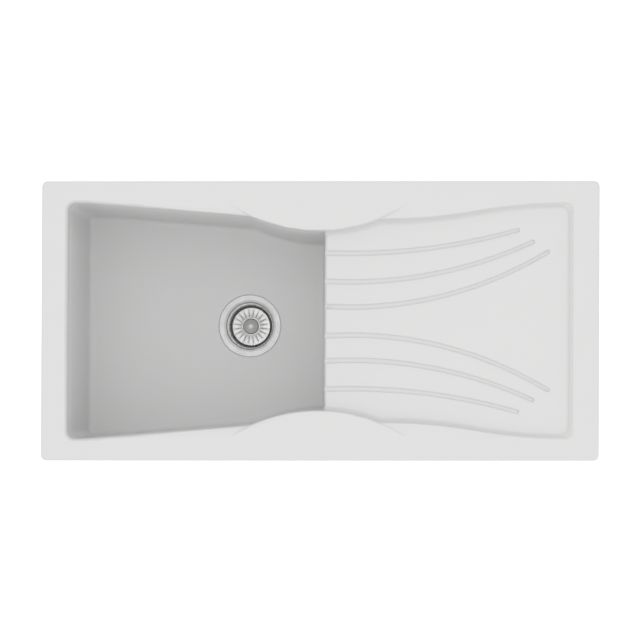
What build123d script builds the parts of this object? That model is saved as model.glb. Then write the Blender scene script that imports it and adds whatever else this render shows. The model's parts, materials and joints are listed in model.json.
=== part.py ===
from build123d import *
import math
import os

# Kitchen sink with drainboard. Millimetres, +Z up, +X towards the drainboard, mirrored about Y = 0.
# The origin is the middle of the outline, in the plane of the worktop under the rim.

# Rim
length = 1000.0
width = 500.0
corner_radius = 10.0
rim_height = 9.0
rim_edge_round = 4.0
rim_end_width = 46.5
rim_side_width = 39.0

# Bowl: drafted walls, its long sides closing in towards the drainboard
bowl_depth = 200.0
bowl_wall = 9.0
tub_set_in = 2.0
bowl_end_draft = 20.0
bowl_side_draft = 15.0
bowl_corner_radius = 14.0
bowl_floor_round = 12.0
bowl_lip_round = 7.0
bowl_turn_radius = 400.0
bowl_turn_angle = 4.6
divider_x = 9.2
divider_lip_round = 5.0

# Round-nosed ledges between bowl and drainboard
ledge_centre_x = -3.0
ledge_radius = 299.0
ledge_width = 89.5
ledge_rise = 1.0

# Drainboard: a sloping floor under a wave-shaped edge
board_waist = 27.5
board_waist_x = 118.0
board_corner_radius = 12.5
board_shallow = 7.0
board_deep = 16.0
board_side_inset = 8.0
board_end_inset = 10.0
board_foot_corner = 16.5
board_floor_round = 12.0
board_lip_round = 3.0
board_wall = 8.0
board_overrun = 20.0
cut_over = 1.0
tray_set_in = 4.0
tray_overlap = 0.01
tray_corner_radius = 21.5

# Shoulders: the rim falls gently where the edges of bowl and drainboard close in
shoulder_drop = 2.5
shoulder_margin = 2.0
shoulder_overlap = 5.0
shoulder_inner_x = 40.0
bowl_shoulder_start = 53.5
bowl_shoulder_top = 281.5
bowl_shoulder_end = 320.5
board_shoulder_start = 48.5
board_shoulder_top = 288.5

# Drain channels, three each side of the middle, fanning out in arcs
channel_depth = 2.5
channel_width = 10.5
channel_tip_width = 8.5
channel_side_slope = 30.0
channel_low_x = 55.0
channel_first_y = 25.0
channel_edge_margin = 54.5
channel_middle_lean = 3.0
channel_radii = (682.0, 779.0, 1096.0)
channel_setbacks = (46.5, 73.5, 100.5)

# Seal and knock-outs under the rim
tape_inset = 2.5
tape_width = 5.5
tape_depth = 1.2
tap_hole_radius = 17.5
tap_hole_depth = 6.0
tap_hole_inset = 47.5

# Waste hole in the bowl's floor
waste_setback = 153.2
waste_hole_clearance = 4.0
waste_recess_clearance = 1.5
waste_recess_depth = 2.0
gasket_thickness = 1.0
gasket_setback = 1.5
gasket_margin = 1.0

# Strainer cup: pressed steel sheet
sheet = 1.2
flange_width = 14.0
flange_crown = 0.4
cup_mouth_radius = 41.0
cup_depth = 42.8
seat_setback = 3.8
seat_top_depth = 24.0
seat_width = 3.2
seat_foot_depth = 30.0
cup_foot_draft = 1.0
cup_bend = 2.0
window_inner_radius = 13.0
window_setback = 9.0
window_count = 6
window_rib = 5.0
window_corner = 1.5
flange_round = 1.5

# Clamp screw and nut
screw_head_radius = 9.0
screw_head_height = 3.0
screw_radius = 5.0
screw_length = 21.0
screw_bore_depth = 20.0
screw_clearance = 0.15
screw_chamfer = 0.6
screw_slot = 2.4
screw_slot_depth = 1.4
nut_flat_radius = 8.5
nut_height = 8.0
nut_clearance = 0.05

# Waste below the floor: moulded plastic
lower_gasket_thickness = 3.0
lower_gasket_setback = 1.0
lower_gasket_margin = 1.0
waste_flange_width = 16.0
waste_flange_thickness = 4.0
waste_cup_setback = 1.5
waste_wall = 3.5
waste_cup_depth = 50.0
outlet_radius = 23.9
outlet_bore_radius = 20.0
outlet_cone_height = 14.0
outlet_length = 20.0
hub_radius = 12.5
hub_height = 15.0
hub_floor = 4.0
waste_edge_chamfer = 0.8
web_setback = 1.0
web_count = 3
web_thickness = 3.0

# Plug
plug_depth = 25.0
plug_sheet = 1.0
plug_set_in = 3.9
plug_rise = 3.5
plug_clearance = 1.0
petal_count = 20
petal_setback = 2.0
petal_slot = 0.8
petal_slot_setback = 1.6
petal_root = 0.8
petal_bulge = 0.04
seal_inset = 2.8
seal_thickness = 3.2
seal_lean = 0.35
skirt_clearance = 0.1
collar_radius = 16.5
collar_height = 2.5
collar_chamfer = 0.8
knob_radius = 14.5
knob_height = 4.0
knob_edge_width = 2.5
knob_crown = 0.9
knob_skirt = 0.4
knob_neck_radius = 9.0
knob_neck_length = 7.0
knob_top_wall = 2.5
stem_radius = 4.0
stem_collar_width = 2.5
stem_collar_height = 1.5
stem_tip_step = 1.0
stem_tip_length = 18.0
stem_tip_chamfer = 0.6
running_clearance = 0.05
part_gap = 0.3
ring_section = 1.2
ring_clearance = 0.03
ring_drop = 9.0
valve_seal_lip = 4.0
valve_plate_thickness = 1.5
valve_plate_chamfer = 0.6
valve_clearance = 5.0
valve_seal_bore = 10.0
valve_seal_thickness = 3.0
valve_gap = 0.3

# Worktop clips
worktop_thickness = 30.0
boss_length = 24.0
boss_width = 15.0
boss_height = 20.0
boss_round = 3.0
boss_draft = 1.5
clip_edge_distance = 21.5
clip_end_setback = 110.0
clip_inner_x = 140.0
plug_hole_radius = 4.0
plug_length = 14.0
clip_screw_radius = 2.5
clip_screw_reach = 12.0
clip_head_radius = 4.75
clip_head_height = 3.3
clip_head_chamfer = 0.8
clip_slot = 1.2
clip_slot_depth = 1.5
claw_width = 16.0
claw_sheet = 2.0
claw_gap = 0.2
claw_arm = 8.0
claw_reach = 17.5
claw_drop = 12.8
claw_bend = 1.0
claw_end_flat = 0.2
claw_hole_clearance = 0.08

# Places worked out from the sizes above
left = rim_end_width - length / 2
right = length / 2 - rim_end_width
side = width / 2 - rim_side_width
waist_y = side - board_waist
floor_z = rim_height - bowl_depth
tub_corner = bowl_corner_radius + bowl_wall
underside_z = floor_z - bowl_wall
ledge_centre_y = width / 2 - ledge_width + ledge_radius
board_tilt = math.degrees(math.atan2(board_deep - board_shallow, right - divider_x))
waste_x = divider_x - waste_setback
boss_y = width / 2 - clip_edge_distance
clip_end_x = length / 2 - clip_end_setback
clip_xs = (-clip_end_x, -clip_inner_x, clip_inner_x, clip_end_x)
tape_inner_corner = corner_radius - tape_inset - tape_width

# Radii that follow the cup's mouth
flange_radius = cup_mouth_radius + flange_width
waste_hole_radius = cup_mouth_radius + waste_hole_clearance
waste_recess_radius = flange_radius + waste_recess_clearance
gasket_inner_radius = waste_hole_radius + gasket_setback
gasket_outer_radius = flange_radius - gasket_margin
seat_top_radius = cup_mouth_radius - seat_setback
seat_foot_radius = seat_top_radius - seat_width
cup_foot_radius = seat_foot_radius - cup_foot_draft
window_outer_radius = cup_foot_radius - window_setback
waste_flange_radius = waste_hole_radius + waste_flange_width
lower_gasket_inner_radius = waste_hole_radius + lower_gasket_setback
lower_gasket_outer_radius = waste_flange_radius - lower_gasket_margin
waste_cup_radius = waste_hole_radius + waste_cup_setback + waste_wall
plug_radius = seat_top_radius - plug_set_in
seal_inner_radius = plug_radius - seal_inset
petal_inner_radius = collar_radius + petal_setback
stem_collar_radius = stem_radius + stem_collar_width
stem_tip_radius = stem_radius - stem_tip_step
valve_seal_radius = cup_foot_radius - valve_clearance
valve_plate_radius = valve_seal_radius - valve_seal_lip

rim_plane = Plane.XY.offset(rim_height)
floor_plane = Plane.XY.offset(floor_z)
underside_plane = Plane.XY.offset(underside_z)
tilt = math.radians(board_tilt)
board_plane = Plane(
    origin=(0, 0, rim_height - board_shallow - right * math.tan(tilt)),
    x_dir=(math.cos(tilt), 0, math.sin(tilt)),
    z_dir=(-math.sin(tilt), 0, math.cos(tilt)),
)


def bowl_outline(end_inset, side_inset, corner):
    """The bowl's outline: straight, a slight turn, then straight again to the divider."""
    x0 = left + end_inset
    x1 = divider_x - end_inset
    y0 = side - side_inset
    with BuildSketch() as outline:
        with BuildLine():
            start = (x0 + corner, y0)
            turn = JernArc(start, (1, 0), bowl_turn_radius, -bowl_turn_angle)
            fall = (x1 - (turn @ 1).X) * math.tan(math.radians(bowl_turn_angle))
            edge = Line(turn @ 1, (x1, (turn @ 1).Y - fall))
            Polyline(edge @ 1, (x1, 0), (x0, 0), (x0, y0 - corner))
            RadiusArc((x0, y0 - corner), start, corner)
        make_face()
        mirror(about=Plane.XZ)
    return outline.sketch


def board_wave_radius(end_inset, corner):
    """The radius of the two equal arcs that make the drainboard's wave."""
    run = right - end_inset - corner - board_waist_x
    return (run**2 + board_waist**2) / (4 * board_waist)


def board_outline(end_inset, side_inset, corner, start_x):
    """The drainboard's outline: straight by the ledge, then a wave of two equal arcs out to its corner."""
    x1 = right - end_inset
    y0 = side - side_inset
    y1 = waist_y - side_inset
    radius = board_wave_radius(end_inset, corner)
    turn = math.degrees(2 * math.atan2(board_waist, x1 - corner - board_waist_x))
    with BuildSketch() as outline:
        with BuildLine():
            Line((start_x, y1), (board_waist_x, y1))
            first = JernArc((board_waist_x, y1), (1, 0), radius, turn)
            second = JernArc(first @ 1, first % 1, radius, -turn)
            RadiusArc(second @ 1, (x1, y0 - corner), corner)
            Polyline((x1, y0 - corner), (x1, 0), (start_x, 0), (start_x, y1))
        make_face()
        mirror(about=Plane.XZ)
    return outline.sketch


def ledge_noses(shrink, depth, bevelled):
    """The two drafted cones that bound the ledges, their top edges sharp or bevelled."""
    lean = bowl_side_draft / bowl_depth
    top_z = rim_height + ledge_rise
    top_radius = ledge_radius - shrink
    foot_radius = top_radius + lean * (depth + ledge_rise)
    edge_radius = top_radius + lean * (shoulder_drop + ledge_rise)
    corner = [(top_radius, top_z)]
    if bevelled:
        bevel_reach = shoulder_drop + ledge_rise
        corner = [(edge_radius, rim_height - shoulder_drop), (edge_radius - bevel_reach, top_z)]
    with BuildPart() as noses:
        for flank in (1, -1):
            middle = (ledge_centre_x, flank * ledge_centre_y, 0)
            with BuildSketch(Plane(origin=middle, x_dir=(1, 0, 0), z_dir=(0, -1, 0))):
                with BuildLine():
                    foot = (foot_radius, rim_height - depth)
                    Polyline((0, rim_height - depth), foot, *corner, (0, top_z), close=True)
                make_face()
            revolve(axis=Axis(middle, (0, 0, 1)))
    return noses.part


os.makedirs("parts", exist_ok=True)

ledges = ledge_noses(0, bowl_depth, False)
bevelled_ledges = ledge_noses(0, bowl_depth, True)
ledge_cores = ledge_noses(bowl_wall, bowl_depth + bowl_wall, False)

# The space inside the bowl
with BuildPart() as bowl_hollow:
    with BuildSketch(rim_plane):
        add(bowl_outline(0, 0, bowl_corner_radius))
    with BuildSketch(floor_plane):
        add(bowl_outline(bowl_end_draft, bowl_side_draft, bowl_corner_radius))
    loft(ruled=True)
    add(ledges, mode=Mode.SUBTRACT)
    fillet(bowl_hollow.faces().sort_by(Axis.Z)[0].edges(), bowl_floor_round)

# The space over the drainboard
with BuildPart() as board_hollow:
    with BuildSketch(rim_plane):
        add(board_outline(0, 0, board_corner_radius, -board_overrun))
    with BuildSketch(board_plane):
        add(board_outline(board_end_inset, board_side_inset, board_foot_corner, -board_overrun))
    loft(ruled=True)
    add(ledges, mode=Mode.SUBTRACT)
    foot = board_hollow.faces().filter_by(lambda f: f.normal_at().Z < -0.99).sort_by(SortBy.AREA)[-1]
    fillet(foot.edges().filter_by(lambda e: e.center().X > tray_overlap - board_overrun), board_floor_round)

# The outside of the bowl below the rim
with BuildPart() as tub:
    with BuildSketch(Plane.XY.offset(rim_height - tub_set_in)):
        add(bowl_outline(-bowl_wall, -bowl_wall, tub_corner))
    with BuildSketch(underside_plane):
        add(bowl_outline(bowl_end_draft - bowl_wall, bowl_side_draft - bowl_wall, tub_corner))
    loft(ruled=True)
    add(ledge_cores, mode=Mode.SUBTRACT)
    chamfer(tub.faces().sort_by(Axis.Z)[0].edges(), bowl_floor_round)

# The outside of the drainboard below the rim
with BuildPart() as tray:
    with BuildSketch(Plane.XY.offset(tray_overlap)):
        add(board_outline(-tray_set_in, -tray_set_in, board_foot_corner, -tray_set_in))
    with BuildSketch(board_plane.offset(-board_wall)):
        end_inset = board_end_inset - bowl_wall
        side_inset = board_side_inset - bowl_wall
        add(board_outline(end_inset, side_inset, tray_corner_radius, -tray_set_in))
    loft(ruled=True)
    add(ledge_cores, mode=Mode.SUBTRACT)


def mouth_edges(builder):
    """The edges round the mouths of bowl and drainboard in the rim's top face."""
    top = builder.faces().filter_by(Plane.XY).group_by(Axis.Z)[-1].sort_by(SortBy.AREA)[-1]
    x_end = right + cut_over
    y_end = side + cut_over
    return top.edges().filter_by(lambda e: abs(e.center().X) < x_end and abs(e.center().Y) < y_end)


def shoulder(hinge_from, hinge_to, low_point, x_from, x_to):
    """What the falling rim loses: a block over the plane through three points, kept off the ledge."""
    along = Vector(*hinge_to) - Vector(*hinge_from)
    down = Vector(*low_point) - Vector(*hinge_from)
    normal = along.cross(down)
    slope = Plane(origin=hinge_from, x_dir=along, z_dir=normal if normal.Z > 0 else normal * -1)
    y_from = waist_y - shoulder_margin
    y_to = side + shoulder_overlap
    with BuildPart() as block:
        with BuildSketch(Plane.XY.offset(rim_height - 2 * shoulder_drop)):
            with Locations(((x_from + x_to) / 2, (y_from + y_to) / 2)):
                Rectangle(x_to - x_from, y_to - y_from)
        extrude(amount=4 * shoulder_drop)
        split(bisect_by=slope, keep=Keep.TOP)
        add(bevelled_ledges, mode=Mode.SUBTRACT)
        mirror(about=Plane.XZ)
    return block.part


def bowl_edge_y(x):
    """Where the bowl's long edge runs at x, past its turn."""
    turn = math.radians(bowl_turn_angle)
    turn_x = left + bowl_corner_radius + bowl_turn_radius * math.sin(turn)
    return side - bowl_turn_radius * (1 - math.cos(turn)) - (x - turn_x) * math.tan(turn)


def board_edge_y(x):
    """Where the outer arc of the drainboard's wave runs at x."""
    radius = board_wave_radius(0, board_corner_radius)
    return side - radius + math.sqrt(radius**2 - (right - board_corner_radius - x) ** 2)


def channel_outline(low_y, bend_radius, tip_x, start_width, tip_width):
    """One drain channel: two arcs that close in on a round tip, open at the divider."""
    centre_y = low_y + bend_radius

    def beside(x, offset):
        angle = math.asin((x - channel_low_x) / bend_radius)
        reach = bend_radius - offset
        return (channel_low_x + reach * math.sin(angle), centre_y - reach * math.cos(angle))

    middle_x = (tip_x - board_overrun) / 2
    middle_width = (start_width + tip_width) / 2
    with BuildSketch() as outline:
        with BuildLine():
            upper = [beside(-board_overrun, start_width / 2), beside(middle_x, middle_width / 2)]
            lower = [beside(-board_overrun, -start_width / 2), beside(middle_x, -middle_width / 2)]
            half = tip_width / 2
            tip = [beside(tip_x, half), beside(tip_x + half, 0), beside(tip_x, -half)]
            ThreePointArc(upper[0], upper[1], tip[0])
            ThreePointArc(tip[0], tip[1], tip[2])
            ThreePointArc(tip[2], lower[1], lower[0])
            Line(lower[0], upper[0])
        make_face()
        mirror(about=Plane.XZ)
    return outline.sketch


# The falling shoulders of the rim beside bowl and drainboard
bowl_hinge_x = left + bowl_shoulder_start
bowl_low_x = left + bowl_shoulder_end
bowl_shoulders = shoulder(
    (bowl_hinge_x, bowl_edge_y(bowl_hinge_x), rim_height),
    (left + bowl_shoulder_top, side, rim_height),
    (bowl_low_x, bowl_edge_y(bowl_low_x), rim_height - shoulder_drop),
    bowl_hinge_x,
    -shoulder_inner_x,
)
board_hinge_x = right - board_shoulder_start
board_shoulders = shoulder(
    (board_hinge_x, board_edge_y(board_hinge_x), rim_height),
    (right - board_shoulder_top, side, rim_height),
    (board_waist_x, waist_y, rim_height - shoulder_drop),
    shoulder_inner_x,
    board_hinge_x,
)

# The divider's lip: the corner between drainboard floor and bowl wall, less its round
lean = bowl_end_draft / bowl_depth
sill_x = divider_x - lean * (rim_height - board_plane.origin.Z)
sill_x = sill_x / (1 - lean * math.tan(tilt))
sill = Vector(sill_x, board_plane.origin.Z + sill_x * math.tan(tilt))
floor_way = Vector(math.cos(tilt), math.sin(tilt))
wall_way = Vector(-lean, -1).normalized()
lip_length = divider_lip_round / math.tan(math.radians(floor_way.get_angle(wall_way)) / 2)
with BuildPart() as divider_lip:
    with BuildSketch(Plane.XZ):
        with BuildLine():
            floor_touch = sill + floor_way * lip_length
            wall_touch = sill + wall_way * lip_length
            corner = sill - floor_way - wall_way
            Polyline(floor_touch, floor_touch - wall_way, corner, wall_touch - floor_way, wall_touch)
            TangentArc(wall_touch, floor_touch, tangent=wall_way * -1)
        make_face()
    extrude(amount=waist_y, both=True)
    add(ledges, mode=Mode.SUBTRACT)

# What the bevels take off the ledges inside the mouths of bowl and drainboard
with BuildPart() as ledge_bevels:
    with BuildSketch(rim_plane.offset(-shoulder_drop)):
        add(bowl_outline(0, 0, bowl_corner_radius))
        add(board_outline(0, 0, board_corner_radius, -board_overrun))
    extrude(amount=shoulder_drop + ledge_rise)
    add(bevelled_ledges, mode=Mode.SUBTRACT)

# The drain channels
floor_half = waist_y - board_side_inset
channel_last_y = floor_half - channel_edge_margin
channel_middle_y = (channel_first_y + channel_last_y) / 2 - channel_middle_lean
channel_lows = (channel_first_y, channel_middle_y, channel_last_y)
with BuildPart() as channels:
    for low_y, bend_radius, setback in zip(channel_lows, channel_radii, channel_setbacks):
        with BuildSketch(board_plane):
            add(channel_outline(low_y, bend_radius, right - setback, channel_width, channel_tip_width))
        extrude(amount=-channel_depth, taper=channel_side_slope)

with BuildPart() as sink_body:
    with BuildSketch():
        RectangleRounded(length, width, corner_radius)
    extrude(amount=rim_height)
    fillet(sink_body.faces().sort_by(Axis.Z)[-1].edges(), rim_edge_round)
    add(tub.part)
    add(tray.part)
    add(board_hollow.part, mode=Mode.SUBTRACT)
    add(bowl_hollow.part, mode=Mode.SUBTRACT)
    fillet(mouth_edges(sink_body).filter_by(lambda e: e.center().X < left / 2), bowl_lip_round)
    fillet(mouth_edges(sink_body).filter_by(lambda e: e.center().X > board_waist_x), board_lip_round)
    add(divider_lip.part, mode=Mode.SUBTRACT)
    add(bowl_shoulders, mode=Mode.SUBTRACT)
    add(board_shoulders, mode=Mode.SUBTRACT)
    add(ledge_bevels.part, mode=Mode.SUBTRACT)
    add(channels.part, mode=Mode.SUBTRACT)
    # Waste hole and the recess that the flange beds in
    with BuildSketch(floor_plane):
        with Locations((waste_x, 0)):
            Circle(waste_recess_radius)
    extrude(amount=-waste_recess_depth, mode=Mode.SUBTRACT)
    with BuildSketch(floor_plane):
        with Locations((waste_x, 0)):
            Circle(waste_hole_radius)
    extrude(amount=-bowl_wall, mode=Mode.SUBTRACT)
    # Groove for the sealing tape
    with BuildSketch():
        RectangleRounded(length - 2 * tape_inset, width - 2 * tape_inset, corner_radius - tape_inset)
        tape_inner = 2 * (tape_inset + tape_width)
        RectangleRounded(length - tape_inner, width - tape_inner, tape_inner_corner, mode=Mode.SUBTRACT)
    extrude(amount=tape_depth, mode=Mode.SUBTRACT)
    # Tap hole knock-outs under the ledges
    with BuildSketch():
        with Locations((0, width / 2 - tap_hole_inset), (0, tap_hole_inset - width / 2)):
            Circle(tap_hole_radius)
    extrude(amount=tap_hole_depth, mode=Mode.SUBTRACT)
    # Bosses for the worktop clips
    clip_spots = [(x, flank * boss_y) for flank in (1, -1) for x in clip_xs]
    with BuildSketch():
        with Locations(*clip_spots):
            RectangleRounded(boss_length, boss_width, boss_round)
    extrude(amount=-boss_height, taper=boss_draft)
    with BuildSketch(Plane.XY.offset(-boss_height)):
        with Locations(*clip_spots):
            Circle(plug_hole_radius)
    extrude(amount=plug_length, mode=Mode.SUBTRACT)

sink_body.part.label = "sink_body"
export_step(sink_body.part, "parts/sink_body.step")

with BuildPart() as sealing_tape:
    with BuildSketch():
        RectangleRounded(length - 2 * tape_inset, width - 2 * tape_inset, corner_radius - tape_inset)
        RectangleRounded(length - tape_inner, width - tape_inner, tape_inner_corner, mode=Mode.SUBTRACT)
    extrude(amount=tape_depth)
sealing_tape.part.label = "sealing_tape"
export_step(sealing_tape.part, "parts/sealing_tape.step")

# Levels of the waste, from the bowl's floor down
waste_axis = Axis((waste_x, 0, 0), (0, 0, 1))
waste_section = Plane(origin=(waste_x, 0, 0), x_dir=(1, 0, 0), z_dir=(0, -1, 0))
recess_z = floor_z - waste_recess_depth
flange_z = recess_z + gasket_thickness + sheet
seat_top_z = floor_z - seat_top_depth
seat_foot_z = floor_z - seat_foot_depth
cup_floor_z = flange_z - cup_depth
seat_slope = (seat_top_radius - seat_foot_radius) / (seat_top_z - seat_foot_z)


def on_waste(z):
    return Plane(origin=(waste_x, 0, z))


with BuildPart() as flange_gasket:
    with BuildSketch(on_waste(recess_z)):
        Circle(gasket_outer_radius)
        Circle(gasket_inner_radius, mode=Mode.SUBTRACT)
    extrude(amount=gasket_thickness)
flange_gasket.part.label = "flange_gasket"
export_step(flange_gasket.part, "parts/flange_gasket.step")

# The cup is one pressed sheet: its inner line, thickened outwards, turned about the waste's axis
with BuildPart() as strainer_cup:
    with BuildSketch(waste_section):
        with BuildLine():
            FilletPolyline(
                (flange_radius, flange_z),
                (gasket_inner_radius, flange_z),
                (cup_mouth_radius + cup_bend, flange_z + flange_crown),
                (cup_mouth_radius, flange_z - cup_bend),
                (seat_top_radius, seat_top_z),
                (seat_foot_radius, seat_foot_z),
                (cup_foot_radius, cup_floor_z),
                (screw_radius + screw_clearance, cup_floor_z),
                radius=[cup_bend, flange_round, cup_bend, cup_bend, cup_bend, cup_bend],
            )
            offset(amount=sheet, side=Side.LEFT)
        make_face()
    revolve(axis=waste_axis)
    with BuildSketch(on_waste(cup_floor_z)):
        Circle(window_outer_radius)
        Circle(window_inner_radius, mode=Mode.SUBTRACT)
        with PolarLocations(0, window_count):
            with Locations((window_outer_radius, 0)):
                Rectangle(2 * window_outer_radius, window_rib, mode=Mode.SUBTRACT)
        fillet(vertices(), window_corner)
    extrude(amount=-2 * sheet, mode=Mode.SUBTRACT)
strainer_cup.part.label = "strainer_cup"
export_step(strainer_cup.part, "parts/strainer_cup.step")

with BuildPart() as underside_gasket:
    with BuildSketch(on_waste(underside_z)):
        Circle(lower_gasket_outer_radius)
        Circle(lower_gasket_inner_radius, mode=Mode.SUBTRACT)
    extrude(amount=-lower_gasket_thickness)
underside_gasket.part.label = "underside_gasket"
export_step(underside_gasket.part, "parts/underside_gasket.step")

# The waste: a turned shell, with a hub on webs that holds the nut
waste_top_z = underside_z - lower_gasket_thickness
waste_cone_z = waste_top_z - waste_cup_depth
outlet_top_z = waste_cone_z - outlet_cone_height
outlet_z = outlet_top_z - outlet_length
hub_top_z = cup_floor_z - sheet
with BuildPart() as waste_body:
    with BuildSketch(waste_section):
        with BuildLine():
            Polyline(
                (waste_cup_radius - waste_wall, waste_top_z),
                (waste_flange_radius, waste_top_z),
                (waste_flange_radius, waste_top_z - waste_flange_thickness),
                (waste_cup_radius, waste_top_z - waste_flange_thickness),
                (waste_cup_radius, waste_cone_z),
                (outlet_radius, outlet_top_z),
                (outlet_radius, outlet_z),
                (outlet_bore_radius, outlet_z),
                (outlet_bore_radius, outlet_top_z),
                (waste_cup_radius - waste_wall, waste_cone_z),
                close=True,
            )
        make_face()
    revolve(axis=waste_axis)
    with BuildSketch(on_waste(hub_top_z)):
        Circle(hub_radius)
    extrude(amount=-hub_height)
    with BuildSketch(on_waste(hub_top_z - web_setback)):
        with PolarLocations(0, web_count):
            with Locations(((hub_radius + waste_cup_radius - waste_wall) / 2, 0)):
                Rectangle(waste_cup_radius - hub_radius - waste_wall + 2 * cut_over, web_thickness)
    extrude(amount=web_setback - hub_height)
    with BuildSketch(on_waste(hub_top_z)):
        RegularPolygon(nut_flat_radius + nut_clearance, 6, major_radius=False)
    extrude(amount=hub_floor - hub_height, mode=Mode.SUBTRACT)
    with BuildSketch(on_waste(hub_top_z)):
        Circle(screw_radius + screw_clearance)
    extrude(amount=-hub_height, mode=Mode.SUBTRACT)
    rims = waste_body.edges().filter_by(GeomType.CIRCLE).group_by(Axis.Z)
    chamfer(rims[0].sort_by(SortBy.RADIUS)[-1], waste_edge_chamfer)
    chamfer(waste_body.edges().filter_by(GeomType.CIRCLE).group_by(SortBy.RADIUS)[-1], waste_edge_chamfer)
waste_body.part.label = "waste_body"
export_step(waste_body.part, "parts/waste_body.step")

nut_z = hub_top_z - hub_height + hub_floor
with BuildPart() as captive_nut:
    with BuildSketch(on_waste(nut_z)):
        RegularPolygon(nut_flat_radius, 6, major_radius=False)
        Circle(screw_radius + nut_clearance, mode=Mode.SUBTRACT)
    extrude(amount=nut_height)
captive_nut.part.label = "captive_nut"
export_step(captive_nut.part, "parts/captive_nut.step")

screw_top_z = cup_floor_z + screw_head_height
with BuildPart() as clamp_screw:
    with BuildSketch(on_waste(cup_floor_z)):
        Circle(screw_head_radius)
    extrude(amount=screw_head_height)
    chamfer(clamp_screw.faces().sort_by(Axis.Z)[-1].edges(), screw_chamfer)
    with BuildSketch(on_waste(cup_floor_z)):
        Circle(screw_radius)
    extrude(amount=-screw_length)
    chamfer(clamp_screw.faces().sort_by(Axis.Z)[0].edges(), screw_chamfer)
    with BuildSketch(on_waste(screw_top_z)):
        Rectangle(2 * screw_head_radius + cut_over, screw_slot)
    extrude(amount=-screw_slot_depth, mode=Mode.SUBTRACT)
    with BuildSketch(on_waste(screw_top_z)):
        Circle(stem_tip_radius + running_clearance)
    extrude(amount=-screw_bore_depth, mode=Mode.SUBTRACT)
clamp_screw.part.label = "clamp_screw"
export_step(clamp_screw.part, "parts/clamp_screw.step")

# Levels of the plug, from its edge up and down
plug_edge_z = floor_z - plug_depth
dish_z = plug_edge_z + plug_rise
collar_z = dish_z + collar_height
knob_z = collar_z + knob_height
neck_foot_z = collar_z - knob_neck_length
half_petal = math.pi / petal_count


def dish_drop(radius):
    """How far the dish has fallen at a radius, on its cone from the collar to the edge."""
    return plug_rise * (radius - collar_radius) / (plug_radius - collar_radius)


# One petal: a sector with straight flanks under a cone that widens outwards, its axis below the dish
petal_slope = plug_rise / (plug_radius - collar_radius)
petal_flank = math.tan(half_petal)
petal_sink = (petal_flank**2 - petal_bulge**2) / (2 * petal_bulge)
axis_fall = math.atan(petal_slope + petal_sink)
cone_angle = axis_fall - math.atan(petal_slope - petal_bulge)
slot_end = plug_radius - petal_slot_setback
petal_inner = petal_inner_radius - petal_root
petal_outer = slot_end + petal_root
apex_z = dish_z - dish_drop(0)
axis_plane = Plane(
    origin=(0, 0, apex_z),
    x_dir=(0, 1, 0),
    z_dir=(math.cos(axis_fall), 0, -math.sin(axis_fall)),
)
with BuildPart() as petal:
    with BuildSketch(Plane.XY.offset(plug_edge_z - plug_rise)):
        with BuildLine():
            inner_half = petal_inner * petal_flank - petal_slot / 2
            outer_half = petal_outer * petal_flank - petal_slot / 2
            Polyline(
                (petal_inner, -inner_half),
                (petal_outer, -outer_half),
                (petal_outer, outer_half),
                (petal_inner, inner_half),
                close=True,
            )
        make_face()
    extrude(amount=4 * plug_rise)
    with BuildSketch(axis_plane.offset(petal_inner / 2)):
        Circle(petal_inner / 2 * math.tan(cone_angle))
    with BuildSketch(axis_plane.offset(2 * petal_outer)):
        Circle(2 * petal_outer * math.tan(cone_angle))
    loft(mode=Mode.INTERSECT)
    underneath = Plane(origin=(0, 0, apex_z - plug_sheet), x_dir=(0, 1, 0), z_dir=(petal_slope, 0, 1))
    split(bisect_by=underneath, keep=Keep.TOP)

skirt_outer = seal_inner_radius - skirt_clearance
skirt_inner = skirt_outer - plug_sheet
seal_top_z = plug_edge_z - plug_sheet
with BuildPart() as strainer_basket:
    with BuildSketch(waste_section):
        with BuildLine():
            Polyline(
                (knob_neck_radius + running_clearance, dish_z),
                (collar_radius, dish_z),
                (petal_inner_radius, dish_z - dish_drop(petal_inner_radius)),
                (petal_inner_radius, dish_z - dish_drop(petal_inner_radius) - plug_sheet),
                (collar_radius, dish_z - plug_sheet),
                (knob_neck_radius + running_clearance, dish_z - plug_sheet),
                close=True,
            )
        make_face()
        with BuildLine():
            Polyline(
                (slot_end, dish_z - dish_drop(slot_end)),
                (plug_radius, plug_edge_z),
                (plug_radius, seal_top_z),
                (skirt_outer, seal_top_z),
                (skirt_outer, seal_top_z - seal_thickness),
                (skirt_inner, seal_top_z - seal_thickness),
                (skirt_inner, dish_z - dish_drop(skirt_inner) - plug_sheet),
                (slot_end, dish_z - dish_drop(slot_end) - plug_sheet),
                close=True,
            )
        make_face()
    revolve(axis=waste_axis)
    with Locations((waste_x, 0)):
        with PolarLocations(0, petal_count):
            add(petal.part)
strainer_basket.part.label = "strainer_basket"
export_step(strainer_basket.part, "parts/strainer_basket.step")

# The rubber ring under the dish's edge comes down on the cup's conical seat by its lower edge
seal_foot_z = seal_top_z - seal_thickness
seal_foot_radius = seat_top_radius + (seal_foot_z - seat_top_z) * seat_slope - plug_clearance
with BuildPart() as basket_seal:
    with BuildSketch(waste_section):
        with BuildLine():
            Polyline(
                (seal_inner_radius, seal_top_z),
                (seal_foot_radius + seal_lean * seal_thickness, seal_top_z),
                (seal_foot_radius, seal_foot_z),
                (seal_inner_radius, seal_foot_z),
                close=True,
            )
        make_face()
    revolve(axis=waste_axis)
basket_seal.part.label = "basket_seal"
export_step(basket_seal.part, "parts/basket_seal.step")

with BuildPart() as knob_collar:
    with BuildSketch(on_waste(dish_z)):
        Circle(collar_radius)
        Circle(knob_neck_radius + running_clearance, mode=Mode.SUBTRACT)
    extrude(amount=collar_height)
    chamfer(knob_collar.edges().group_by(Axis.Z)[-1].sort_by(SortBy.RADIUS)[-1], collar_chamfer)
knob_collar.part.label = "knob_collar"
export_step(knob_collar.part, "parts/knob_collar.step")

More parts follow.
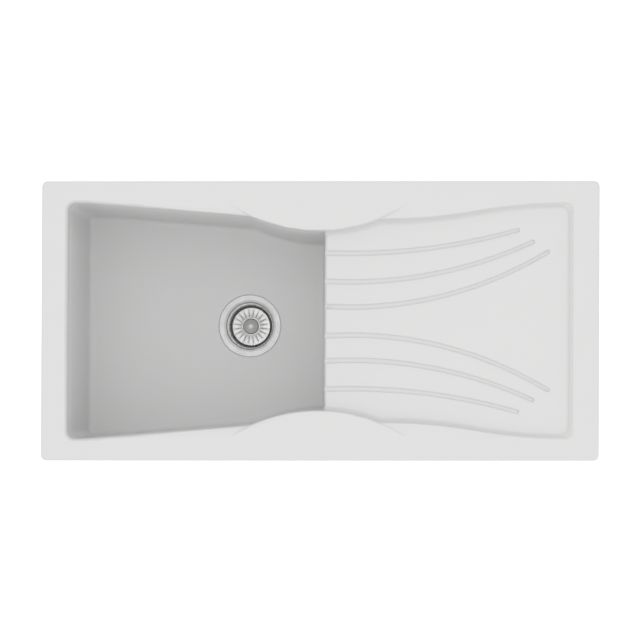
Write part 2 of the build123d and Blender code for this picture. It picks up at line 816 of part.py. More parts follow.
# The knob: a turned head with a crowned top and a soft edge, its neck bored for the stem
with BuildPart() as basket_knob:
    with BuildSketch(waste_section):
        with BuildLine():
            crown_edge = knob_radius - knob_edge_width
            Line((0, knob_z - knob_top_wall), (0, knob_z))
            crown = TangentArc((0, knob_z), (crown_edge, knob_z - knob_crown), tangent=(1, 0))
            TangentArc(crown @ 1, (knob_radius, collar_z + knob_skirt), tangent=crown % 1)
            Polyline(
                (knob_radius, collar_z + knob_skirt),
                (knob_radius, collar_z),
                (knob_neck_radius, collar_z),
                (knob_neck_radius, neck_foot_z),
                (stem_radius + running_clearance, neck_foot_z),
                (stem_radius + running_clearance, knob_z - knob_top_wall),
                (0, knob_z - knob_top_wall),
            )
        make_face()
    revolve(axis=waste_axis)
basket_knob.part.label = "basket_knob"
export_step(basket_knob.part, "parts/basket_knob.step")

# The stem: a spindle for the knob, a collar under its neck, a foot on the valve plate and a ringed tip
valve_seal_z = cup_floor_z + valve_gap
valve_plate_z = valve_seal_z + valve_seal_thickness
stem_foot_z = valve_plate_z + valve_plate_thickness
tip_z = valve_plate_z - stem_tip_length
ring_z = valve_plate_z - ring_drop
with BuildPart() as basket_stem:
    with BuildSketch(waste_section):
        with BuildLine():
            Polyline(
                (0, knob_z - knob_top_wall - part_gap),
                (stem_radius, knob_z - knob_top_wall - part_gap),
                (stem_radius, neck_foot_z - part_gap),
                (stem_collar_radius, neck_foot_z - part_gap),
                (stem_collar_radius, neck_foot_z - part_gap - stem_collar_height),
                (stem_radius, neck_foot_z - part_gap - stem_collar_height),
                (stem_radius, stem_foot_z + stem_collar_height),
                (stem_collar_radius, stem_foot_z + stem_collar_height),
                (stem_collar_radius, stem_foot_z),
                (stem_radius, stem_foot_z),
                (stem_radius, valve_plate_z),
                (stem_tip_radius, valve_plate_z),
                (stem_tip_radius, ring_z + ring_section),
                (stem_tip_radius - ring_section, ring_z + ring_section),
                (stem_tip_radius - ring_section, ring_z),
                (stem_tip_radius, ring_z),
                (stem_tip_radius, tip_z + stem_tip_chamfer),
                (stem_tip_radius - stem_tip_chamfer, tip_z),
                (0, tip_z),
                close=True,
            )
        make_face()
    revolve(axis=waste_axis)
basket_stem.part.label = "basket_stem"
export_step(basket_stem.part, "parts/basket_stem.step")

with BuildPart() as stem_o_ring:
    with BuildSketch(waste_section):
        with Locations((stem_tip_radius - ring_section / 2, ring_z + ring_section / 2)):
            RegularPolygon(ring_section / 2 - ring_clearance, 8)
    revolve(axis=waste_axis)
stem_o_ring.part.label = "stem_o_ring"
export_step(stem_o_ring.part, "parts/stem_o_ring.step")

with BuildPart() as valve_plate:
    with BuildSketch(on_waste(valve_plate_z)):
        Circle(valve_plate_radius)
        Circle(stem_radius, mode=Mode.SUBTRACT)
    extrude(amount=valve_plate_thickness)
    chamfer(valve_plate.edges().group_by(Axis.Z)[-1].sort_by(SortBy.RADIUS)[-1], valve_plate_chamfer)
valve_plate.part.label = "valve_plate"
export_step(valve_plate.part, "parts/valve_plate.step")

with BuildPart() as valve_seal:
    with BuildSketch(on_waste(valve_seal_z)):
        Circle(valve_seal_radius)
        Circle(valve_seal_bore, mode=Mode.SUBTRACT)
    extrude(amount=valve_seal_thickness)
valve_seal.part.label = "valve_seal"
export_step(valve_seal.part, "parts/valve_seal.step")

# A clip at the origin, its arm reaching outwards along +Y under the worktop
claw_top_z = -boss_height - claw_gap
claw_foot_z = claw_top_z - claw_drop
with BuildPart() as claw:
    with BuildSketch(Plane.YZ):
        with BuildLine():
            FilletPolyline(
                (-claw_width / 2, claw_top_z),
                (claw_arm, claw_top_z),
                (claw_arm, claw_foot_z),
                (claw_reach, claw_foot_z),
                (claw_reach, -worktop_thickness - part_gap),
                radius=[claw_sheet + claw_bend, claw_bend, claw_bend],
            )
            offset(amount=claw_sheet, side=Side.RIGHT)
        make_face()
    extrude(amount=claw_width / 2, both=True)
    inner_end = claw.edges().filter_by(Axis.Z).group_by(Axis.Y)[0]
    fillet(inner_end, (claw_width - claw_end_flat) / 2)
    with BuildSketch(Plane.XY.offset(claw_top_z)):
        Circle(clip_screw_radius + claw_hole_clearance)
    extrude(amount=-claw_sheet, mode=Mode.SUBTRACT)

for number, (x, y) in enumerate(clip_spots, start=1):
    placed = claw.part.moved(Location((x, y, 0), (0, 0, 0 if y > 0 else 180)))
    placed.label = f"clip_claw_{number}"
    export_step(placed, f"parts/clip_claw_{number}.step")

clip_head_z = claw_top_z - claw_sheet - claw_gap
with BuildPart() as clip_screws:
    with BuildSketch(Plane.XY.offset(clip_head_z)):
        with Locations(*clip_spots):
            Circle(clip_head_radius)
    extrude(amount=-clip_head_height)
    chamfer(clip_screws.edges().group_by(Axis.Z)[0], clip_head_chamfer)
    with BuildSketch(Plane.XY.offset(clip_head_z)):
        with Locations(*clip_spots):
            Circle(clip_screw_radius)
    extrude(amount=clip_screw_reach)
    with BuildSketch(Plane.XY.offset(clip_head_z - clip_head_height)):
        with Locations(*clip_spots):
            Rectangle(2 * clip_head_radius + cut_over, clip_slot)
    extrude(amount=clip_slot_depth, mode=Mode.SUBTRACT)
clip_screws.part.label = "clip_screws"
export_step(clip_screws.part, "parts/clip_screws.step")

with BuildPart() as clip_plugs:
    with BuildSketch(Plane.XY.offset(-boss_height)):
        with Locations(*clip_spots):
            Circle(plug_hole_radius - running_clearance)
            Circle(clip_screw_radius + running_clearance, mode=Mode.SUBTRACT)
    extrude(amount=plug_length)
clip_plugs.part.label = "clip_plugs"
export_step(clip_plugs.part, "parts/clip_plugs.step")
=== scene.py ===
import json
import math

import bpy
from mathutils import Matrix, Vector


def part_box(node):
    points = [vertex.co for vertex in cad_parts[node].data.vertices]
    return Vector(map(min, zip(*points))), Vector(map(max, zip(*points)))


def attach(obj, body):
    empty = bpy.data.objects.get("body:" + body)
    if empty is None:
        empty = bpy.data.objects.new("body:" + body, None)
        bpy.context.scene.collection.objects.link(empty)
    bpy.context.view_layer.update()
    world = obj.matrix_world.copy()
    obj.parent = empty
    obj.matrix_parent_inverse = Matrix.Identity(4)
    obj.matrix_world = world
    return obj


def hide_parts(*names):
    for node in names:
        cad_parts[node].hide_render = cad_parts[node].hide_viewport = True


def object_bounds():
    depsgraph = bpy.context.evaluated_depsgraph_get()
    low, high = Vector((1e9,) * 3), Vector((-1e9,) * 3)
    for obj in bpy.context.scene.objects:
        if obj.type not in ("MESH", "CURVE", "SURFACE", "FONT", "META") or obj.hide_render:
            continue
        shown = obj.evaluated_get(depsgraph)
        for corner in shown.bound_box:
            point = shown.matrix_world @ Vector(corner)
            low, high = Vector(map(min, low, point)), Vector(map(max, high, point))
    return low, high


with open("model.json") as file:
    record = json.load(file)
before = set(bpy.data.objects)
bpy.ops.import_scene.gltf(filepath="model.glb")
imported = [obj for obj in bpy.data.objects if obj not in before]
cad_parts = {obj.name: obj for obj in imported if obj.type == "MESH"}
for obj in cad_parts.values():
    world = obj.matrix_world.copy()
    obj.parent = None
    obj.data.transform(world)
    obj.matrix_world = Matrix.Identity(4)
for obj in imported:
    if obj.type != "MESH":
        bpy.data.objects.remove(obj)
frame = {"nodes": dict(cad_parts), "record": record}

cad_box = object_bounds()

bl_info = {
    "name": "Kitchen sink with drainboard",
    "version": (1, 0, 0),
    "blender": (4, 5, 0),
    "location": "View3D > Sidebar > Sink",
    "description": "Finishes an inset kitchen sink with drainboard and basket strainer around its CAD frame",
    "category": "Object",
}

# What the frame says. Lengths are in metres throughout.
SLOTS = {part["node"]: part["material_slot"] for part in frame["record"]["subparts"]}
BODIES = {node: body for body, nodes in frame["record"]["behaviour"]["bodies"].items() for node in nodes}
CUP_LOW, CUP_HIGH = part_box("strainer_cup")
WASTE_X = (CUP_LOW.x + CUP_HIGH.x) / 2
RIM_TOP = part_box("sink_body")[1].z
KNOB_TOP = Vector((WASTE_X, 0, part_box("basket_knob")[1].z))
FLOOR_Z = cad_box[0].z

# Where the moulding's painted shade comes in: each pair runs from none to all of that shade.
BOWL_SHADE_Z = (RIM_TOP / 2, -0.045)
SLOPE_SHADE_Z = (-0.012, -0.010)
SLOPE_SHADE_TILT = (0.03, 0.65)
SLOPE_SHADE_X_SQUARED = (0.2256, 0.2209)
SLOPE_SHADE_Y_SQUARED = (0.0508, 0.0495)

# Distances from the waste's middle over which the strainer's finish changes.
DISH_DARKENING_RADII = (0.027, 0.0165)
CUP_WALL_RADII = (0.0335, 0.0345)
CUP_FLANGE_RADII = (0.0405, 0.0425)

MIDDLE = (0, 0, 0)
BLACK = (0.0, 0.0, 0.0)
PAINTED_LIGHT_STEEL = (0.97, 0.97, 0.96)
BRIGHT_STEEL = (0.44, 0.44, 0.432)

# The Mix node's colour sockets, by number because its sockets for other kinds share their names.
MIX_FIRST, MIX_SECOND, MIX_RESULT = 6, 7, 2

MERGE_DISTANCE = 1e-6
LARGE_FACES_LEAD = 100

FLOOR_SIZE = 120
FLOOR_GAP = 0.0005
FLOOR_COLOUR = (0.8, 0.8, 0.8, 1)
FLOOR_GLOW = 0.62
CORNER_LAMP_PLACE = (2.6, -2.9, 0.75)
OVERHEAD_LAMP_PLACE = (0, 0, 5)
MIRRORED_LAMP_DISTANCE = 3.0
SHEEN_LAMP_LEAN = Vector((-0.03, -0.13, 0))
CAMERA_AIM = Vector((0.0004, 0.00125, RIM_TOP))
SENSOR_WIDTH = 36.0
CAMERA_REACH = 400.0

FINISHES = {}


# ---------------------------------------------------------------- settings


class SINK_PG_moulding(bpy.types.PropertyGroup):
    """The white moulding: its colour, its satin surface and how soft its edges look."""

    colour: bpy.props.FloatVectorProperty(
        name="Colour", description="Colour of the moulding", subtype="COLOR", size=3, min=0, max=1,
        default=(0.745, 0.745, 0.742))
    roughness: bpy.props.FloatProperty(
        name="Roughness", description="Satin roughness of the moulding", subtype="FACTOR", min=0, max=1,
        default=0.42)
    # Painted shade: how much darker the bowl is made below the rim, as its depth shades it.
    bowl_painted_shade: bpy.props.FloatProperty(
        name="Bowl film", description="How much darker use has made the bowl below the rim",
        subtype="FACTOR", min=0, max=0.5, default=0.10)
    # Painted shade: how much darker the tilted slopes of the mouths and the drainboard's recess are made.
    slope_painted_shade: bpy.props.FloatProperty(
        name="Slope film", description="How much duller water has left the slopes of mouths and drainboard",
        subtype="FACTOR", min=0, max=0.5, default=0.12)
    grain_size: bpy.props.FloatProperty(
        name="Grain size", description="Size of the mineral grains in the moulding", subtype="DISTANCE",
        unit="LENGTH", min=0.0002, max=0.01, default=0.0009)
    smooth_angle: bpy.props.FloatProperty(
        name="Smooth below", description="Edges flatter than this are shaded as one soft surface",
        subtype="ANGLE", unit="ROTATION", default=math.radians(66))


class SINK_PG_metal(bpy.types.PropertyGroup):
    """The metals and seals of the strainer, and how soft the edges of all small pieces look."""

    steel: bpy.props.FloatVectorProperty(
        name="Steel", description="Colour of the brushed strainer", subtype="COLOR", size=3, min=0, max=1,
        default=(0.76, 0.76, 0.752))
    knob: bpy.props.FloatVectorProperty(
        name="Knob", description="Colour of the polished knob", subtype="COLOR", size=3, min=0, max=1,
        default=(0.28, 0.28, 0.276))
    brush_pitch: bpy.props.FloatProperty(
        name="Brush pitch", description="Distance between the brushed lines", subtype="DISTANCE",
        unit="LENGTH", min=0.00005, max=0.002, default=0.0003)
    groove: bpy.props.FloatProperty(
        name="Groove", description="Depth of the brushed lines", subtype="DISTANCE", unit="LENGTH",
        min=0.0, max=0.0002, default=0.00003)
    # Painted reflection: the fans are brighter and darker tone painted into the steel's colour.
    painted_fan_width: bpy.props.FloatProperty(
        name="Fan width", description="Width of the brighter and darker fans, in radians", default=0.45)
    painted_fan_depth: bpy.props.FloatProperty(
        name="Fan depth", description="How much the fans differ in brightness", subtype="FACTOR",
        min=0, max=0.6, default=0.36)
    # Darker towards the knob: how far the dish's tone falls from its outer part inward.
    middle_darkening: bpy.props.FloatProperty(
        name="Middle tarnish", description="How much darker the dish is beside the knob", subtype="FACTOR",
        min=0, max=1, default=0.3)
    # Painted light: how much the cup's deep, shaded wall is brightened.
    wall_painted_light: bpy.props.FloatProperty(
        name="Wall polish", description="How much brighter the cup's wall is than the brushed faces",
        subtype="FACTOR", min=0, max=1, default=1.0)
    # Darker on the flange: how much its tone is dulled.
    flange_darkening: bpy.props.FloatProperty(
        name="Flange wear", description="How much duller the cup's flange is than the dish",
        subtype="FACTOR", min=0, max=1, default=0.42)
    rubber: bpy.props.FloatVectorProperty(
        name="Rubber", description="Colour of the seals", subtype="COLOR", size=3, min=0, max=1,
        default=(0.24, 0.24, 0.242))
    smooth_angle: bpy.props.FloatProperty(
        name="Smooth below", description="Edges flatter than this are shaded as one soft surface",
        subtype="ANGLE", unit="ROTATION", default=math.radians(32))


class SINK_PG_stage(bpy.types.PropertyGroup):
    """Light and camera."""

    camera_distance: bpy.props.FloatProperty(
        name="Camera distance", description="From the camera to the rim", subtype="DISTANCE",
        unit="LENGTH", default=40.0)
    camera_side: bpy.props.FloatProperty(
        name="Camera side", description="How far the camera stands to the drainboard's side, per metre away",
        default=0.0915)
    camera_front: bpy.props.FloatProperty(
        name="Camera front", description="How far the camera stands to the front, per metre away",
        default=0.047)
    view_width: bpy.props.FloatProperty(
        name="View width", description="Width that the picture shows at the rim", subtype="DISTANCE",
        unit="LENGTH", default=1.1425)
    sky_level: bpy.props.FloatProperty(
        name="Sky level", description="Strength of the even light from all round", default=0.93)
    top_power: bpy.props.FloatProperty(
        name="Top power", description="Power of the wide lamp overhead, which mirrors don't show",
        unit="POWER", default=8.0)
    lamp_power: bpy.props.FloatProperty(
        name="Lamp power", description="Power of the wide low lamp at the front corner", unit="POWER",
        default=9.0)
    spark_power: bpy.props.FloatProperty(
        name="Spark power", description="Power of the small high lamp that the knob mirrors", unit="POWER",
        default=1.2)
    sheen_power: bpy.props.FloatProperty(
        name="Sheen power", description="Power of the high lamp that the flange's front side mirrors",
        unit="POWER", default=0.6)


# ---------------------------------------------------------------- finishes


class Amount:
    """A number socket that can be used in sums: each operator adds its Math node."""

    def __init__(self, finish, socket):
        self.finish = finish
        self.socket = socket

    def math(self, operation, first, second):
        node = self.finish.node("ShaderNodeMath", {"operation": operation}, {0: first, 1: second})
        return Amount(self.finish, node.outputs[0])

    def __add__(self, other):
        return self.math("ADD", self, other)

    def __sub__(self, other):
        return self.math("SUBTRACT", self, other)

    def __rsub__(self, other):
        return self.math("SUBTRACT", other, self)

    def __mul__(self, other):
        return self.math("MULTIPLY", self, other)

    def __truediv__(self, other):
        return self.math("DIVIDE", self, other)

    def __pow__(self, other):
        return self.math("POWER", self, other)

    __radd__ = __add__
    __rmul__ = __mul__


class Finish:
    """The nodes of one material, or of the world, while they are made."""

    def __init__(self, owner):
        owner.use_nodes = True
        self.owner = owner
        self.tree = owner.node_tree
        self.tree.nodes.clear()

    @classmethod
    def new(cls, name):
        """Starts a new material."""
        return cls(bpy.data.materials.new(name))

    def node(self, kind, settings=None, inputs=None):
        """Adds a node: its settings first, then the values or links of its sockets."""
        node = self.tree.nodes.new(kind)
        for key, value in (settings or {}).items():
            setattr(node, key, value)
        for key, value in (inputs or {}).items():
            if isinstance(value, Amount):
                self.tree.links.new(value.socket, node.inputs[key])
            elif isinstance(value, bpy.types.NodeSocket):
                self.tree.links.new(value, node.inputs[key])
            else:
                node.inputs[key].default_value = value
        return node

    def place(self, centre=MIDDLE):
        """Object coordinates, measured from a centre."""
        spot = self.node("ShaderNodeTexCoord").outputs["Object"]
        back = [-c for c in centre]
        return self.node("ShaderNodeMapping", {}, {"Vector": spot, "Location": back}).outputs[0]

    def parts(self, vector):
        """The three numbers of a vector."""
        split = self.node("ShaderNodeSeparateXYZ", {}, {0: vector})
        return [Amount(self, socket) for socket in split.outputs]

    def joined(self, x, y, z):
        """A vector of three numbers."""
        return self.node("ShaderNodeCombineXYZ", {}, {0: x, 1: y, 2: z}).outputs[0]

    def noise(self, spot, size, detail=2.0):
        """Soft noise between 0 and 1, with spots of a size."""
        inputs = {"Scale": 1 / size, "Detail": detail, "Vector": spot}
        return Amount(self, self.node("ShaderNodeTexNoise", {}, inputs).outputs[0])

    def ramp(self, value, low, high):
        """A soft step from 0 at the first value to 1 at the second."""
        inputs = {"Value": value, "From Min": low, "From Max": high, "To Min": 0.0, "To Max": 1.0}
        step = self.node("ShaderNodeMapRange", {"interpolation_type": "SMOOTHSTEP"}, inputs)
        return Amount(self, step.outputs[0])

    def blend(self, factor, first, second):
        """A colour between two, by a factor from 0 to 1."""
        first, second = [c if isinstance(c, bpy.types.NodeSocket) else (*c, 1.0) for c in (first, second)]
        inputs = {0: factor, MIX_FIRST: first, MIX_SECOND: second}
        return self.node("ShaderNodeMix", {"data_type": "RGBA"}, inputs).outputs[MIX_RESULT]

    def surface(self, inputs, height, depth, strength):
        """The shader, with a pattern as its relief: how deep that is and how strongly it shows."""
        bump = self.node("ShaderNodeBump", {}, {"Height": height, "Distance": depth, "Strength": strength})
        shader = self.node("ShaderNodeBsdfPrincipled", {}, {**inputs, "Normal": bump.outputs[0]})
        self.node("ShaderNodeOutputMaterial", {}, {"Surface": shader.outputs[0]})
        return self.owner


def shade(colour, level):
    """A colour made darker or lighter."""
    return tuple(min(1.0, c * level) for c in colour)


def around(level, *swings):
    """A value that patterns swing evenly about a level, each over its own width."""
    first, *others = [pattern * width for pattern, width in swings]
    return sum(others, first) + (level - sum(width for _, width in swings) / 2)


def moulding_finish(settings):
    """Satin white moulding with fine mineral grain, and painted shade in its bowl and on its slopes."""
    finish = Finish.new("moulded_white")
    spot = finish.place()
    grain = finish.noise(spot, settings.grain_size, detail=3.0)
    cloud = finish.noise(spot, size=0.09)
    x, y, z = finish.parts(spot)
    # Painted shade: the bowl's colour darkens below the rim.
    bowl_shade_mask = finish.ramp(z, *BOWL_SHADE_Z)
    mottle = 0.025
    unshaded = finish.blend(
        grain * 0.7 + cloud * 0.3, shade(settings.colour, 1 - mottle), shade(settings.colour, 1 + mottle))
    # These darker colours are painted shade for the bowl.
    used = finish.blend(
        grain * 0.5 + cloud * 0.5, shade(settings.colour, 1 - mottle - settings.bowl_painted_shade),
        shade(settings.colour, 1 + mottle - settings.bowl_painted_shade))
    colour = finish.blend(bowl_shade_mask, unshaded, used)
    # Painted shade: tilted faces within the rim and near the top are made darker, standing in for the shade
    # along the mouths and the drainboard's recess.
    facing_up = finish.parts(finish.node("ShaderNodeTexCoord").outputs["Normal"])[2]
    # A little more than 1, so that the root is never of a negative number.
    tilt = (1.0001 - facing_up * facing_up) ** 0.5
    within_rim = finish.ramp(x * x, *SLOPE_SHADE_X_SQUARED) * finish.ramp(y * y, *SLOPE_SHADE_Y_SQUARED)
    slope_shade_mask = finish.ramp(tilt, *SLOPE_SHADE_TILT) * within_rim * finish.ramp(z, *SLOPE_SHADE_Z)
    colour = finish.blend(slope_shade_mask * settings.slope_painted_shade, colour, BLACK)
    roughness = around(settings.roughness, (grain, 0.10), (cloud, 0.06))
    ripple = finish.noise(spot, size=0.0016)
    return finish.surface(
        {"Base Color": colour, "Roughness": roughness, "IOR": 1.5}, ripple, depth=0.00004, strength=0.35)


def brushed_finish(name, colour, settings):
    """Steel brushed in rings round the waste, with the fan-shaped reflections that such brushing shows
    painted into its colour, and painted light on the cup's wall.
    """
    finish = Finish.new(name)
    x, y, z = finish.parts(finish.place((WASTE_X, 0, 0)))
    radius = (x * x + y * y) ** 0.5
    turn = y.math("ARCTAN2", y, x)
    # Lines run round, with a slow drift, and also cross the walls, where only the height changes.
    line_drift, wall_share, smear_pitches, painted_fan_rings = 0.006, 0.6, 9, 9
    lines_at = finish.joined(radius + z * wall_share, turn * line_drift, 0.0)
    lines = finish.noise(lines_at, settings.brush_pitch, detail=3.0)
    smear = finish.noise(lines_at, settings.brush_pitch * smear_pitches)
    # Painted reflection: brighter and darker fans round the waste, in the steel's colour, stand in for the
    # sheen of ring brushing.
    fans_at = finish.joined(x / radius, y / radius, radius * painted_fan_rings)
    painted_fans = finish.noise(fans_at, settings.painted_fan_width)
    tone = finish.blend(
        lines * 0.25 + smear * 0.15 + painted_fans * 0.6,
        shade(colour, 1 - settings.painted_fan_depth), shade(colour, 1 + settings.painted_fan_depth))
    # The dish is made darker towards the knob.
    darkening = finish.ramp(radius, *DISH_DARKENING_RADII)
    tone = finish.blend(darkening * settings.middle_darkening, tone, BLACK)
    # Painted light: the cup's wall between the dish and the flange, dark in its depth, is brightened towards
    # near white.
    beyond_dish = finish.ramp(radius, *CUP_WALL_RADII)
    on_flange = finish.ramp(radius, *CUP_FLANGE_RADII)
    tone = finish.blend(beyond_dish * (1 - on_flange) * settings.wall_painted_light, tone, PAINTED_LIGHT_STEEL)
    # The flange is made darker than the dish.
    tone = finish.blend(on_flange * settings.flange_darkening, tone, BLACK)
    roughness = around(0.3, (lines, 0.12), (smear, 0.1))
    return finish.surface(
        {"Base Color": tone, "Roughness": roughness, "Metallic": 1.0},
        lines, depth=settings.groove, strength=1.0)


def polished_finish(name, colour, roughness):
    """Polished metal with faint wiping marks."""
    finish = Finish.new(name)
    spot = finish.place((WASTE_X, 0, 0))
    haze = finish.noise(spot, size=0.006, detail=3.0)
    fine = finish.noise(spot, size=0.0005)
    tone = finish.blend(haze, shade(colour, 0.94), shade(colour, 1.05))
    roughness = around(roughness, (haze, 0.06), (fine, 0.03))
    return finish.surface(
        {"Base Color": tone, "Roughness": roughness, "Metallic": 1.0}, fine, depth=0.000004, strength=0.6)


def rubber_finish(name, colour, roughness=0.62, grain=0.0005):
    """Matt rubber or foam with a fine skin."""
    finish = Finish.new(name)
    spot = finish.place()
    skin = finish.noise(spot, grain, detail=3.0)
    cloud = finish.noise(spot, size=0.012)
    tone = finish.blend(cloud * 0.6 + skin * 0.4, shade(colour, 0.8), shade(colour, 1.25))
    return finish.surface(
        {"Base Color": tone, "Roughness": around(roughness, (skin, 0.16))},
        skin, depth=grain * 0.08, strength=0.5)


def plastic_finish(name, colour, roughness=0.45):
    """Moulded plastic with a spark-eroded grain."""
    finish = Finish.new(name)
    spot = finish.place()
    grain = finish.noise(spot, size=0.0006)
    flow = finish.noise(spot, size=0.03, detail=3.0)
    tone = finish.blend(flow * 0.7 + grain * 0.3, shade(colour, 0.95), shade(colour, 1.04))
    return finish.surface(
        {"Base Color": tone, "Roughness": around(roughness, (grain, 0.12), (flow, 0.06))},
        grain, depth=0.00002, strength=0.5)


def galvanised_finish(name, colour):
    """Zinc-coated steel with its spangle."""
    finish = Finish.new(name)
    spot = finish.place()
    cells_per_metre = 260.0
    cells = finish.node("ShaderNodeTexVoronoi", {"feature": "F1"}, {"Vector": spot, "Scale": cells_per_metre})
    tint = finish.node("ShaderNodeSeparateColor", {}, {0: cells.outputs["Color"]})
    spangle = Amount(finish, tint.outputs[0])
    dust = finish.noise(spot, size=0.0012, detail=3.0)
    tone = finish.blend(spangle * 0.75 + dust * 0.25, shade(colour, 0.82), shade(colour, 1.15))
    roughness = around(0.43, (spangle, 0.16), (dust, 0.1))
    return finish.surface(
        {"Base Color": tone, "Roughness": roughness, "Metallic": 1.0}, dust, depth=0.00001, strength=0.6)


def all_finishes(scene):
    """Each finish by the record's slot."""
    metal = scene.sink_metal
    return {
        "ceramic_white": moulding_finish(scene.sink_moulding),
        "foam_grey": rubber_finish("foam_strip", (0.25, 0.25, 0.26), roughness=0.85, grain=0.0012),
        "rubber_black": rubber_finish("black_rubber", metal.rubber),
        "steel_brushed": brushed_finish("ring_brushed_steel", metal.steel, metal),
        "steel_bright": polished_finish("bright_steel", BRIGHT_STEEL, roughness=0.26),
        "steel_galvanised": galvanised_finish("galvanised_steel", (0.55, 0.57, 0.59)),
        "chrome_polished": polished_finish("polished_knob", metal.knob, roughness=0.2),
        "plastic_white": plastic_finish("white_plastic", (0.72, 0.73, 0.72)),
        "nylon_grey": plastic_finish("grey_nylon", (0.4, 0.41, 0.42), roughness=0.55),
        "brass": polished_finish("turned_brass", (0.72, 0.55, 0.25), roughness=0.3),
    }


# ---------------------------------------------------------------- pieces


def only(piece):
    """Makes one object the only selected one."""
    bpy.ops.object.select_all(action="DESELECT")
    piece.select_set(True)
    bpy.context.view_layer.objects.active = piece


def smooth_copy(node, angle):
    """A merged copy of a CAD node, smooth where it is round and flat where it is flat."""
    piece = bpy.data.objects.new(f"{node}_finished", frame["nodes"][node].data.copy())
    bpy.context.scene.collection.objects.link(piece)
    only(piece)
    bpy.ops.mesh.customdata_custom_splitnormals_clear()
    bpy.ops.object.mode_set(mode="EDIT")
    bpy.ops.mesh.select_all(action="SELECT")
    bpy.ops.mesh.remove_doubles(threshold=MERGE_DISTANCE)
    bpy.ops.object.mode_set(mode="OBJECT")
    bpy.ops.object.shade_smooth_by_angle(angle=angle)
    weighted = piece.modifiers.new("Weighted normals", "WEIGHTED_NORMAL")
    weighted.keep_sharp = True
    weighted.weight = LARGE_FACES_LEAD
    bpy.ops.object.modifier_apply(modifier=weighted.name)
    return piece


def hand_over(piece, node, material):
    """Gives a piece its finish and its body, and hides the CAD node that it stands for."""
    piece.data.materials.clear()
    piece.data.materials.append(material)
    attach(piece, BODIES[node])
    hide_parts(node)


def finish_nodes(nodes, angle):
    """Finishes CAD nodes, each with the finish of its slot."""
    if not FINISHES:
        FINISHES.update(all_finishes(bpy.context.scene))
    for node in nodes:
        hand_over(smooth_copy(node, angle), node, FINISHES[SLOTS[node]])


class SINK_OT_moulding(bpy.types.Operator):
    """Finishes the white moulding."""

    bl_idname = "sink.moulding"
    bl_label = "Moulding"

    def execute(self, context):
        finish_nodes(["sink_body"], context.scene.sink_moulding.smooth_angle)
        return {"FINISHED"}


class SINK_OT_strainer(bpy.types.Operator):
    """Finishes the strainer's cup and the screw that holds it."""

    bl_idname = "sink.strainer"
    bl_label = "Strainer cup"

    def execute(self, context):
        finish_nodes(["strainer_cup", "clamp_screw"], context.scene.sink_metal.smooth_angle)
        return {"FINISHED"}


class SINK_OT_plug(bpy.types.Operator):
    """Finishes the plug: dish, seal, collar, knob, stem and valve."""

    bl_idname = "sink.plug"
    bl_label = "Plug"

    def execute(self, context):
        finish_nodes(
            ["strainer_basket", "basket_seal", "knob_collar", "basket_knob", "basket_stem", "stem_o_ring",
             "valve_plate", "valve_seal"],
            context.scene.sink_metal.smooth_angle)
        return {"FINISHED"}


class SINK_OT_waste(bpy.types.Operator):
    """Finishes the waste below the bowl, its nut and both gaskets."""

    bl_idname = "sink.waste"
    bl_label = "Waste"

    def execute(self, context):
        finish_nodes(
            ["waste_body", "captive_nut", "flange_gasket", "underside_gasket"],
            context.scene.sink_metal.smooth_angle)
        return {"FINISHED"}


class SINK_OT_clips(bpy.types.Operator):
    """Finishes the worktop clips, their screws and plugs, and the sealing tape."""

    bl_idname = "sink.clips"
    bl_label = "Clips and tape"

    def execute(self, context):
        claws = sorted(node for node in frame["nodes"] if node.startswith("clip_claw"))
        finish_nodes(
            [*claws, "clip_screws", "clip_plugs", "sealing_tape"], context.scene.sink_metal.smooth_angle)
        return {"FINISHED"}


# ---------------------------------------------------------------- stage


def seen_rays(finish):
    """1 for rays from the camera, a mirror or glass."""
    path = finish.node("ShaderNodeLightPath")
    kinds = ("Is Camera Ray", "Is Glossy Ray", "Is Transmission Ray")
    camera, mirror, glass = [Amount(finish, path.outputs[kind]) for kind in kinds]
    return camera.math("MINIMUM", camera + mirror + glass, 1.0)


def lay_floor():
    """A wide floor just below the sink, matt and white in the picture."""
    bpy.ops.object.select_all(action="DESELECT")
    bpy.ops.mesh.primitive_plane_add(size=FLOOR_SIZE, location=(0, 0, FLOOR_Z - FLOOR_GAP))
    floor = bpy.context.object
    floor.name = "floor"
    finish = Finish.new("pale_floor")
    matt = finish.node("ShaderNodeBsdfDiffuse", {}, {"Color": FLOOR_COLOUR})
    glow = finish.node("ShaderNodeEmission", {}, {"Strength": seen_rays(finish) * FLOOR_GLOW})
    both = finish.node("ShaderNodeAddShader", {}, {0: matt.outputs[0], 1: glow.outputs[0]})
    finish.node("ShaderNodeOutputMaterial", {}, {"Surface": both.outputs[0]})
    floor.data.materials.append(finish.owner)


def area_lamp(name, place, aim, size, power):
    """A soft square lamp that shines at a point."""
    bpy.ops.object.light_add(type="AREA", location=place)
    lamp = bpy.context.object
    lamp.name = name
    lamp.data.shape = "SQUARE"
    lamp.data.size = size
    lamp.data.energy = power
    lamp.rotation_euler = (Vector(aim) - Vector(place)).to_track_quat("-Z", "Y").to_euler()
    return lamp


def hang_lamps(settings):
    """A low lamp at the front corner, one overhead, and two high ones that knob and flange mirror."""
    area_lamp("front_corner_lamp", CORNER_LAMP_PLACE, MIDDLE, size=1.5, power=settings.lamp_power)
    overhead = area_lamp("overhead_lamp", OVERHEAD_LAMP_PLACE, MIDDLE, size=2.0, power=settings.top_power)
    overhead.visible_glossy = False
    mirrored = Vector((-settings.camera_side, settings.camera_front, 1))
    for name, way, size, power in (
            ("high_lamp", mirrored, 0.12, settings.spark_power),
            ("sheen_lamp", mirrored + SHEEN_LAMP_LEAN, 0.9, settings.sheen_power)):
        area_lamp(name, KNOB_TOP + way.normalized() * MIRRORED_LAMP_DISTANCE, KNOB_TOP, size, power)


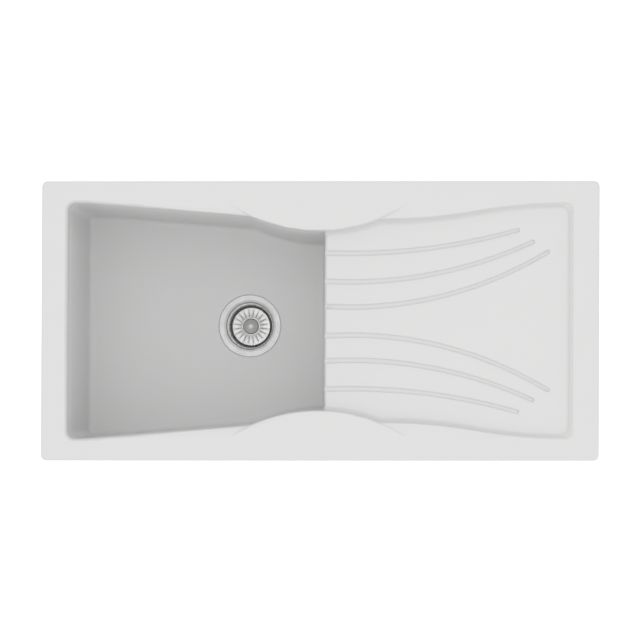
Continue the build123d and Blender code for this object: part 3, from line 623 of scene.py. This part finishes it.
def light_sky(scene, level):
    """Even light from all round, behind which the background is white."""
    scene.world = scene.world or bpy.data.worlds.new("world")
    sky = Finish(scene.world)
    strength = seen_rays(sky) * (1.0 - level) + level
    light = sky.node("ShaderNodeBackground", {}, {"Color": (1, 1, 1, 1), "Strength": strength})
    sky.node("ShaderNodeOutputWorld", {}, {"Surface": light.outputs[0]})


def set_camera(scene, settings):
    """A camera far above the sink, a little to its right and front, with the sink's long edge level."""
    way = Vector((settings.camera_side, -settings.camera_front, 1)).normalized()
    bpy.ops.object.camera_add(location=CAMERA_AIM + way * settings.camera_distance)
    camera = bpy.context.object
    camera.name = "camera"
    long_edge = Vector((1, 0, 0))
    right = (long_edge - way * long_edge.dot(way)).normalized()
    camera.rotation_euler = Matrix((right, way.cross(right), way)).transposed().to_euler()
    camera.data.sensor_width = SENSOR_WIDTH
    camera.data.lens = SENSOR_WIDTH * settings.camera_distance / settings.view_width
    camera.data.clip_end = CAMERA_REACH
    camera.data.dof.use_dof = False
    scene.camera = camera
    scene.view_settings.view_transform = "Standard"


class SINK_OT_stage(bpy.types.Operator):
    """Lays the pale floor and sets up the light and the camera."""

    bl_idname = "sink.stage"
    bl_label = "Stage"

    def execute(self, context):
        settings = context.scene.sink_stage
        lay_floor()
        hang_lamps(settings)
        light_sky(context.scene, settings.sky_level)
        set_camera(context.scene, settings)
        return {"FINISHED"}


class SINK_PT_panel(bpy.types.Panel):
    """Lists the settings and the steps that finish the sink."""

    bl_label = "Sink"
    bl_space_type = "VIEW_3D"
    bl_region_type = "UI"
    bl_category = "Sink"

    def draw(self, context):
        for group in GROUPS:
            settings = getattr(context.scene, group)
            for name in settings.__annotations__:
                self.layout.prop(settings, name)
        for operator in OPERATORS:
            self.layout.operator(operator.bl_idname)


OPERATORS = (SINK_OT_moulding, SINK_OT_strainer, SINK_OT_plug, SINK_OT_waste, SINK_OT_clips, SINK_OT_stage)
GROUPS = {"sink_moulding": SINK_PG_moulding, "sink_metal": SINK_PG_metal, "sink_stage": SINK_PG_stage}


def register():
    """Adds the settings, the steps and the panel."""
    for cls in (*GROUPS.values(), *OPERATORS, SINK_PT_panel):
        bpy.utils.register_class(cls)
    for name, cls in GROUPS.items():
        setattr(bpy.types.Scene, name, bpy.props.PointerProperty(type=cls))


def unregister():
    """Takes them away again."""
    for name in GROUPS:
        delattr(bpy.types.Scene, name)
    for cls in (SINK_PT_panel, *reversed(OPERATORS), *reversed(tuple(GROUPS.values()))):
        bpy.utils.unregister_class(cls)


def main():
    """Registers the add-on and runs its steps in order."""
    register()
    bpy.ops.sink.moulding()
    bpy.ops.sink.strainer()
    bpy.ops.sink.plug()
    bpy.ops.sink.waste()
    bpy.ops.sink.clips()
    bpy.ops.sink.stage()


if __name__ == "__main__":
    main()
